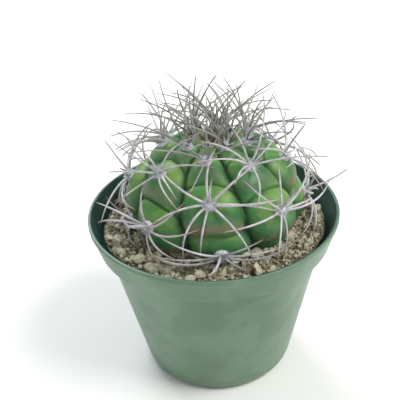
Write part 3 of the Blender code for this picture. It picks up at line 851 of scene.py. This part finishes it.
def areole_frame(step):
    """Seat, outward normal, upward tangent and sideways tangent of an areole."""
    azimuth, polar = np.float64(azimuth_of(step)), polar_of(np.float64(step))
    seat = stem_surface(azimuth, np.float64(step))
    normal, upward = globe_frame(azimuth, polar)
    return seat, normal, upward, np.cross(normal, upward)


def crown_seat():
    """The middle of the crown, where the youngest areoles share one tuft of wool."""
    return globe_point(np.float64(0), np.float64(0))


# %% Spine paths and clearances

def spine_path(root, start, bend_to, length, bend, count):
    """Points of a spine that leaves along start and turns towards bend_to by the angle bend."""
    turn_axis = np.cross(start, bend_to)
    turn_axis /= max(np.linalg.norm(turn_axis), 1e-9)
    side = np.cross(turn_axis, start)
    points = [root]
    pace = length / (count - 1)
    for i in range(count - 1):
        angle = bend * (i + 0.5) / (count - 1)
        points.append(points[-1] + pace * (start * math.cos(angle) + side * math.sin(angle)))
    return np.array(points)


def segments_apart(a, b, others_a, others_b):
    """Smallest distance from the segment a-b to any of the other segments."""
    u, v, w = b - a, others_b - others_a, a - others_a
    uu, uv, vv = u @ u, v @ u, np.einsum("ij,ij->i", v, v)
    uw, vw = w @ u, np.einsum("ij,ij->i", v, w)
    best = np.full(len(others_a), np.inf)
    det = np.maximum(uu * vv - uv * uv, 1e-18)
    s = np.clip((uv * vw - vv * uw) / det, 0, 1)
    for _ in range(2):
        t = np.clip((uv * s + vw) / vv, 0, 1)
        s = np.clip((uv * t - uw) / uu, 0, 1)
        gap = w + s[:, None] * u - t[:, None] * v
        best = np.minimum(best, np.linalg.norm(gap, axis=1))
    return float(best.min())


def is_clear(path, placed, seats):
    """True if a spine clears the stem's crests, the mix, the pot and the other areoles."""
    samples = np.concatenate([path[1:], (path[1:-1] + path[2:]) / 2])
    across = np.hypot(samples[:, 0], samples[:, 1])
    from_stem = np.hypot(samples[:, 0] - STEM_SHIFT, samples[:, 1])
    reach = np.where(samples[:, 2] > GLOBE_CENTRE, GLOBE_RISE, GLOBE_DROP)
    crest = TUBERCLE_RELIEF * (1 + CHIN_SWELL - TUBERCLE_MEAN) + CREST_CLEAR
    level = (samples[:, 2] - GLOBE_CENTRE) / (reach + crest)
    if (np.hypot(from_stem / (GLOBE_RADIUS + crest), level) < 1.0).any():
        return False
    ground = soil_height(samples[:, 0], samples[:, 1]) + SPINE_OVER_SOIL
    if (samples[:, 2] < ground)[across < RIM_RADIUS].any():
        return False
    low = samples[:, 2] < POT_HEIGHT + RIM_CLEAR
    if (across[low] > pot_inside_radius(samples[low, 2]) - WALL_CLEAR).any():
        return False
    for seat, keep_out in seats:
        if (np.linalg.norm(samples - seat, axis=1) < keep_out).any():
            return False
    if placed:
        others_a, others_b = np.array([p[0] for p in placed]), np.array([p[1] for p in placed])
        least = 2 * SPINE_RADIUS + SPINE_CLEAR
        for a, b in zip(path[:-1], path[1:]):
            if segments_apart(a, b, others_a, others_b) < least:
                return False
    return True


# %% Plan and grow the spines

def spine_plan(step, dice):
    """Turn round the areole, lift, length, bend, sway and thickness of each spine of one areole."""
    young = np.clip((step - YOUNG_STEP) / (LAST_STEP - YOUNG_STEP), 0, 1)
    erect = np.clip((step - CROWN_STEP + 4) / 8, 0, 1)
    old = 0.72 if step < 0 else 1.0
    radials = dice.choice((8, 8, 9)) if step < CROWN_STEP else 7 if step < YOUNG_STEP else 6
    if step >= FIRST_CROWN_STEP:
        radials = 2
    thick = 1 - 0.25 * erect
    plan = []
    for k in range(radials):
        turn = math.pi + 2 * math.pi * k / radials + math.radians(dice.uniform(-14, 14))
        turn += SIDE_PULL * math.sin(2 * turn)
        lift = 20 + 9 * math.cos(turn) + 26 * erect + dice.uniform(-6, 6)
        length = SPINE_LENGTH * old * (1 - 0.30 * young) * (0.72 + 0.32 * abs(math.sin(turn)))
        length *= dice.uniform(0.88, 1.12) + 0.08 * erect
        bend = dice.uniform(40, 85) * (1 - 0.40 * erect)
        sway = dice.uniform(-1.2, 1.2)
        plan.append((turn, math.radians(lift), length, math.radians(bend), sway, thick))
    turn = dice.uniform(-0.8, 0.8)
    length = SPINE_LENGTH * old * (1 - 0.30 * young) * dice.uniform(0.50, 0.85 + 0.2 * erect)
    lift = math.radians(dice.uniform(58, 78))
    bend = math.radians(dice.uniform(14, 40))
    sway = dice.uniform(-0.8, 0.8)
    plan.append((turn, lift, length, bend, sway, 1.1 * thick))
    return plan


FINE_POINTS = 13


def grow_spines():
    """Every areole's spines, {step: [(coarse path, fine path, thickness)]}."""
    grown, placed = {}, []
    seats = {step: (areole_frame(step)[0], PAD_KEEP_OUT) for step in AREOLE_STEPS}
    for step in range(FIRST_STEP, LAST_STEP + 1):
        dice = random.Random(GROWTH_SEED * 1000 + step)
        seat, normal, upward, sideways = areole_frame(step)
        root = seat + normal * (PAD_GAP + 0.4 * PAD_THICKNESS)
        if step >= FIRST_CROWN_STEP:
            root = crown_seat() + (root - crown_seat()) * [0.4, 0.4, 0.0] + [0, 0, 0.7 * CROWN_THICKNESS]
        others = [place for other, place in seats.items() if other != step]
        if step < FIRST_CROWN_STEP:
            others.append((crown_seat(), CROWN_RADIUS + CROWN_CLEAR))
        own = []
        count = SPINE_POINTS if step < CROWN_STEP else SPINE_POINTS - 1
        spread = ROOT_SPREAD if step < FIRST_CROWN_STEP else 0.0
        for turn, lift, length, bend, sway, thick in spine_plan(step, dice):
            for attempt in range(SPINE_TRIES):
                veer = VEER_PER_TRY * ((attempt + 1) // 2) * (-1) ** attempt / 2
                raised = lift + RAISE_PER_TRY * attempt
                level = upward * math.cos(turn + veer) + sideways * math.sin(turn + veer)
                start = level * math.cos(raised) + normal * math.sin(raised)
                bend_to = sway * np.cross(normal, level) - normal
                reach = length * (1 - SHORTEN_PER_TRY * attempt)
                foot = root + spread * level
                path = spine_path(foot, start, bend_to, reach, bend, count)
                if is_clear(path, placed, others):
                    own.append((path, spine_path(foot, start, bend_to, reach, bend, FINE_POINTS), thick))
                    break
        grown[step] = own
        if step < FIRST_CROWN_STEP:
            for path, _, _ in own:
                placed.extend(zip(path[:-1], path[1:]))
    return grown


grown = grow_spines()
print("areoles:", len(grown), "spines:", sum(len(own) for own in grown.values()))

# %% [markdown]
# ### Needles as tapered tubes
# A spine is round, thick where it leaves the wool and drawn out to a fine point. Each is a tube of
# rings round its path. All of them go into one mesh, because hundreds of objects would be slow, and
# each point stores how far along its spine it is and how young the spine is.

# %% Tubes along paths

class Bundle:
    """Collects many small closed shapes, with measures on their points, for one mesh."""

    def __init__(self):
        self.points, self.faces, self.measures = [], [], {}

    def add(self, points, faces, **measures):
        offset = len(self.points)
        self.points.extend(points)
        self.faces.extend(tuple(offset + i for i in face) for face in faces)
        for label, values in measures.items():
            self.measures.setdefault(label, []).extend(np.broadcast_to(values, len(points)))

    def build(self, name):
        return mesh_object(name, self.points, self.faces, self.measures)


def add_tube(bundle, path, radii, sides, **measures):
    """A tube round the path that closes in a flat root and a point. Its along runs from 0 to 1."""
    count = len(path)
    points, side = [], np.cross(path[1] - path[0], [0.3, 0.2, 0.9])
    for i in range(count - 1):
        ahead = path[i + 1] - path[max(i - 1, 0)]
        ahead = ahead / np.linalg.norm(ahead)
        side = side - ahead * (side @ ahead)
        side = side / np.linalg.norm(side)
        other = np.cross(ahead, side)
        for k in range(sides):
            angle = 2 * math.pi * k / sides
            points.append(path[i] + radii[i] * (side * math.cos(angle) + other * math.sin(angle)))
    points.append(path[-1])
    faces = [tuple(reversed(range(sides)))]
    for i in range(count - 2):
        for k in range(sides):
            j = (k + 1) % sides
            faces.append((i * sides + k, i * sides + j, (i + 1) * sides + j, (i + 1) * sides + k))
    last = (count - 2) * sides
    faces += [(last + k, last + (k + 1) % sides, len(points) - 1) for k in range(sides)]
    along = [i / (count - 1) for i in range(count - 1) for _ in range(sides)] + [1.0]
    bundle.add(points, faces, along=along, **measures)


def spine_radii(thick, count):
    share = np.linspace(0, 1, count)
    return thick * (SPINE_RADIUS * (1 - share) ** 0.5 + SPINE_TIP_RADIUS)


# %% Make the spines
SPINE_SIDES = 8
OLD_HORN_STEP = 13
HORN_STEPS = 12


def youth_of(step):
    return float(np.clip((step - OLD_HORN_STEP) / HORN_STEPS, 0, 1))


def make_spines(name, steps):
    bundle = Bundle()
    for step in steps:
        for _, path, thick in grown[step]:
            add_tube(bundle, path, spine_radii(thick, FINE_POINTS), SPINE_SIDES, youth=youth_of(step))
    return bundle.build(name)


areole_names = [f"areole_{step - FIRST_STEP + 1:02d}" for step in AREOLE_STEPS]
spines = make_spines("spines", AREOLE_STEPS)
settle(spines, "spines", *areole_names)
crown_spines = make_spines("crown_spines", range(FIRST_CROWN_STEP, LAST_STEP + 1))
settle(crown_spines, "young_spines", "crown_tuft")

# %% [markdown]
# ### Horn
# Old spines are grey horn with a pink cast. Young ones are dark brown at the root and paler towards
# the tip. The colour therefore follows the two measures that each point carries.

# %% Spine material

def make_horn():
    paint, tree, shader = new_material("grey_horn", 0.55)
    along, youth = measure(tree, "along"), measure(tree, "youth")
    old = drift(tree, srgb(208, 206, 208), srgb(180, 176, 180), 260.0)
    old_tip = mix_colour(tree, remap(tree, along, 0.55, 1.0), old, srgb(142, 122, 112))
    grey = mix_colour(tree, remap(tree, youth, 0.0, 0.3), old_tip, srgb(142, 140, 136))
    dark = mix_colour(tree, remap(tree, along, 0.03, 0.42), srgb(72, 48, 38), srgb(160, 159, 152))
    horn = mix_colour(tree, remap(tree, youth, 0.35, 0.75), grey, dark)
    cover(tree, shader, horn, 5200.0, 1500.0, 0.5, 0.00010)
    return paint


horn = make_horn()
for piece in (spines, crown_spines):
    piece.data.materials.append(horn)
print("spine material done")

# %% [markdown]
# ### Areole wool
# Each spine cluster springs from a felted cushion of short hairs. A low dome gives the felt its
# body. Short curled hairs over it break up its edge, as they do on the plant.

# %% Wool pads
HAIRS_PER_AREOLE = 190
HAIR_RADIUS = 0.00006
HAIR_LENGTH = (0.0012, 0.0025)
HAIR_POINTS = 5
HAIR_SIDES = 3
HAIR_SEAT = 0.85
HAIR_LEAN = 0.9
PUFF = 1.12
YOUNG_PUFF_LOSS = 0.3
PAD_PUFF = 1.35
CROWN_WOOL_WIDTH = 0.9
CROWN_WOOL_HEIGHT = 1.1


def add_dome(bundle, seat, axes, sizes, phase):
    """A felt cushion: a half sunk, slightly lumpy ball squashed to the three sizes along the axes."""
    ball = bmesh.new()
    bmesh.ops.create_uvsphere(ball, u_segments=20, v_segments=12, radius=1.0)
    faces = sorted(tuple(v.index for v in face.verts) for face in ball.faces)
    points = []
    for v in ball.verts:
        lump = 0.95 + 0.13 * math.sin(7 * v.co.x + phase) * math.cos(6 * v.co.y - phase)
        points.append(seat + sum(axis * size * c * lump for axis, size, c in zip(axes, sizes, v.co)))
    ball.free()
    bundle.add(points, faces, along=0.0)


def add_hairs(bundle, seat, axes, sizes, count, dice):
    for _ in range(count):
        turn, away = dice.uniform(0, 2 * math.pi), math.sqrt(dice.random())
        level = math.sqrt(max(0.0, 1 - away * away))
        place = [away * math.cos(turn), away * math.sin(turn), level]
        root = seat + sum(axis * size * HAIR_SEAT * c for axis, size, c in zip(axes, sizes, place))
        lean = [c * HAIR_LEAN + dice.uniform(-0.5, 0.5) for c in place[:2]] + [0.5 + dice.uniform(0, 0.6)]
        start = sum(axis * c for axis, c in zip(axes, lean))
        start = start / np.linalg.norm(start)
        droop = sum(axis * dice.uniform(-1, 1) for axis in axes)
        path = spine_path(root, start, droop, dice.uniform(*HAIR_LENGTH), dice.uniform(0.3, 1.8), HAIR_POINTS)
        add_tube(bundle, path, np.linspace(HAIR_RADIUS, 0.4 * HAIR_RADIUS, HAIR_POINTS), HAIR_SIDES)


def make_wool():
    bundle = Bundle()
    for step in AREOLE_STEPS:
        seat, normal, upward, sideways = areole_frame(step)
        puff = PUFF * (1 - YOUNG_PUFF_LOSS * max(0, step - YOUNG_STEP) / (FIRST_CROWN_STEP - YOUNG_STEP))
        axes = (upward, sideways, normal)
        sizes = (PAD_HALF_HEIGHT * puff, PAD_HALF_WIDTH * puff, PAD_PUFF * PAD_THICKNESS * puff)
        add_dome(bundle, seat, axes, sizes, step)
        add_hairs(bundle, seat, axes, sizes, HAIRS_PER_AREOLE, random.Random(500 + step))
    return bundle.build("areole_wool")


def make_crown_wool():
    bundle = Bundle()
    axes = (np.array([1.0, 0, 0]), np.array([0, 1.0, 0]), np.array([0, 0, 1.0]))
    width = CROWN_RADIUS * CROWN_WOOL_WIDTH
    sizes = (width, width, CROWN_THICKNESS * CROWN_WOOL_HEIGHT)
    add_dome(bundle, crown_seat(), axes, sizes, 3)
    add_hairs(bundle, crown_seat(), axes, sizes, 5 * HAIRS_PER_AREOLE, random.Random(77))
    return bundle.build("crown_wool")


wool = make_wool()
settle(wool, "spines", *areole_names)
crown_wool = make_crown_wool()
settle(crown_wool, "young_spines", "crown_tuft")

# %% Wool material

def make_felt(name, first, second):
    paint, tree, shader = new_material(name, 0.9)
    cover(tree, shader, drift(tree, first, second, 900.0), 6000.0, 2200.0, 0.6, 0.00025)
    shader.inputs["Sheen Weight"].default_value = 0.3
    return paint


wool.data.materials.append(make_felt("pale_wool", srgb(238, 241, 248), srgb(208, 213, 224)))
crown_wool.data.materials.append(make_felt("young_wool", srgb(196, 186, 158), srgb(156, 140, 110)))
print("wool materials done")

# %% [markdown]
# ### Loose grains
# Pumice breaks into blunt stones, bark into flat splinters, and the soil into crumbs. One rounded
# ball, stretched, turned and dented in a different way each time, makes all three. Larger grains
# keep clear of the spines that lie over the mix.

# %% Stones

def ball_shape(detail):
    ball = bmesh.new()
    bmesh.ops.create_icosphere(ball, subdivisions=detail, radius=1.0)
    points = np.array([v.co[:] for v in ball.verts])
    faces = [tuple(v.index for v in face.verts) for face in ball.faces]
    ball.free()
    return points, faces


def any_turn(rng):
    """A random rotation, from a random unit quaternion."""
    q = rng.normal(size=4)
    w, x, y, z = q / np.linalg.norm(q)
    return np.array([[1 - 2 * (y * y + z * z), 2 * (x * y - z * w), 2 * (x * z + y * w)],
                     [2 * (x * y + z * w), 1 - 2 * (x * x + z * z), 2 * (y * z - x * w)],
                     [2 * (x * z - y * w), 2 * (y * z + x * w), 1 - 2 * (x * x + y * y)]])


def stone(shape, stretch, dents, rng):
    """One grain of unit size: a ball cut by a few soft planes, then stretched and turned."""
    points = shape.copy()
    for _ in range(dents):
        plane = rng.normal(size=3)
        plane /= np.linalg.norm(plane)
        over = np.maximum(points @ plane - rng.uniform(0.45, 0.80), 0)
        points -= 0.92 * over[:, None] * plane
    points *= 1 + rng.normal(scale=0.03, size=(len(points), 1))
    return (points * stretch) @ any_turn(rng).T


# %% Scatter the grains
PUMICE_COUNT = 640
BARK_COUNT = 70
CRUMB_COUNT = 1700
FINE_PUMICE_COUNT = 2600
SMALL_OVER_LARGE = 2.2
EDGE_RADIUS = 0.045
NEAREST_GRAIN = 0.027
LOW_STEPS = 6


def scatter(name, count, sizes, stretch, detail, dents, sink, seed, keep_clear):
    rng = np.random.default_rng(seed)
    shape, faces = ball_shape(detail)
    bundle = Bundle()
    paths = [own[0] for step in range(FIRST_STEP, LOW_STEPS) for own in grown[step]]
    starts = np.concatenate([path[:-1] for path in paths])
    ends = np.concatenate([path[1:] for path in paths])
    for _ in range(count):
        size = sizes[0] + (sizes[1] - sizes[0]) * rng.random() ** SMALL_OVER_LARGE
        turn = rng.uniform(0, 2 * math.pi)
        wall = float(pot_inside_radius(SOIL_LEVEL + SOIL_TILT * EDGE_RADIUS * math.cos(turn)))
        away = math.sqrt(rng.uniform(NEAREST_GRAIN**2, (wall - 0.7 * size) ** 2))
        x, y = away * math.sin(turn), -away * math.cos(turn)
        middle = np.array([x, y, float(soil_height(x, y)) + sink * size + rng.uniform(-0.3, 0.5) * size])
        if keep_clear and segments_apart(middle, middle + [0, 0, 1e-5], starts, ends) < size + SPINE_RADIUS:
            continue
        grain_points = stone(shape, np.array(stretch) * size, dents, rng) + middle
        bundle.add(grain_points, faces, tone=rng.random())
    return bundle.build(name)


pumice = scatter("pumice", PUMICE_COUNT, (0.0010, 0.0034), (1.0, 0.80, 0.66),
                 detail=2, dents=11, sink=0.35, seed=11, keep_clear=True)
bark = scatter("bark", BARK_COUNT, (0.0011, 0.0034), (1.0, 0.50, 0.26),
               detail=2, dents=4, sink=0.5, seed=12, keep_clear=True)
crumb = scatter("crumbs", CRUMB_COUNT, (0.0003, 0.0011), (1.0, 0.9, 0.8),
                detail=1, dents=2, sink=0.2, seed=13, keep_clear=False)
fine_pumice = scatter("fine_pumice", FINE_PUMICE_COUNT, (0.0004, 0.0012), (1.0, 0.85, 0.75),
                      detail=1, dents=3, sink=0.4, seed=14, keep_clear=False)
for piece in (pumice, bark):
    piece.data.set_sharp_from_angle(angle=math.radians(32))
for piece in (pumice, bark, crumb, fine_pumice):
    settle(piece, "soil", "soil")

# %% [markdown]
# ### Stone, bark and soil
# One recipe serves all the grains: two tones by grain, a cloudy stain over them and a pitted
# surface. Only the colours and the pits differ.

# %% Grain materials
PIT_DEPTH = 0.0004


def make_grain_material(name, light, dark, stain, pits):
    paint, tree, shader = new_material(name, 0.92)
    stained = maths(tree, "MULTIPLY", patches(tree, 420.0, 0.45), 0.55)
    by_grain = mix_colour(tree, measure(tree, "tone"), light, dark)
    cover(tree, shader, mix_colour(tree, stained, by_grain, stain), pits, 900.0, 0.8, PIT_DEPTH)
    return paint


stone_paint = make_grain_material("pumice_stone", srgb(216, 212, 188), srgb(182, 178, 152),
                                  srgb(150, 144, 120), 3200.0)
bark_paint = make_grain_material("bark_chip", srgb(138, 100, 72), srgb(92, 64, 46),
                                 srgb(64, 46, 34), 2400.0)
soil_paint = make_grain_material("dark_soil", srgb(144, 136, 112), srgb(102, 96, 78),
                                 srgb(80, 74, 58), 3600.0)
for piece, paint in ((pumice, stone_paint), (fine_pumice, stone_paint), (bark, bark_paint),
                     (crumb, soil_paint), (bed, soil_paint)):
    piece.data.materials.append(paint)
print("mix materials done")
